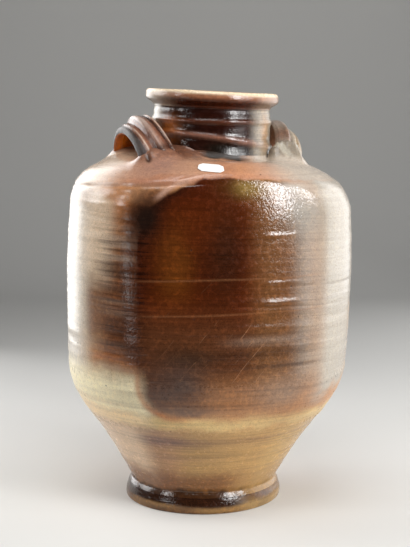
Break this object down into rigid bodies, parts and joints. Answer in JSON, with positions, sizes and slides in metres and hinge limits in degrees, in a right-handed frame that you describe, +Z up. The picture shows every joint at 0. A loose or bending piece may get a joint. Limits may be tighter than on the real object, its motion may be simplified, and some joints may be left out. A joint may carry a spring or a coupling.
{
  "type": "stoneware vinegar crock",
  "caption": "Tall wheel-thrown stoneware storage jar with a projecting foot, flaring base, flattened front, rounded shoulder, ribbed strap lugs beside a short ridged neck and a rolled lip.",
  "frame": {"origin": "middle of the flat underside of the foot", "axes": "+Z up through the mouth, X through the two lugs with the left lug on -X, -Y towards the flattened front panel"},
  "size_m": [0.2985, 0.281, 0.4291],
  "materials": {
    "foot_glaze": "glossy dark brown glaze, thin and ochre towards the ground",
    "ash_glaze": "cream to ochre ash glaze with mauve throwing streaks",
    "flashed_glaze": "orange-peel wood-fired glaze, flashed dark red-brown on the front panel",
    "shoulder_glaze": "glossy pinkish tan wood-fired glaze",
    "neck_glaze": "glossy dark reddish brown with olive-black pooling at the foot of the neck",
    "rim_glaze": "pinkish brown, wiped to cream on the top of the lip",
    "lug_glaze": "mauve-brown glaze, rubbed pale on the ridges",
    "pale_lug_glaze": "wiped beige-grey glaze",
    "white_paper": "plain matt white paper, blank"
  },
  "bodies": {
    "root": {"foot_base": "foot_glaze", "lower_wall": "ash_glaze", "drum_wall": "flashed_glaze", "shoulder": "shoulder_glaze", "neck_collar": "neck_glaze", "rim_lip": "rim_glaze", "left_handle": "lug_glaze", "right_handle": "pale_lug_glaze", "paper_label": "white_paper"}
  },
  "joints": []
}
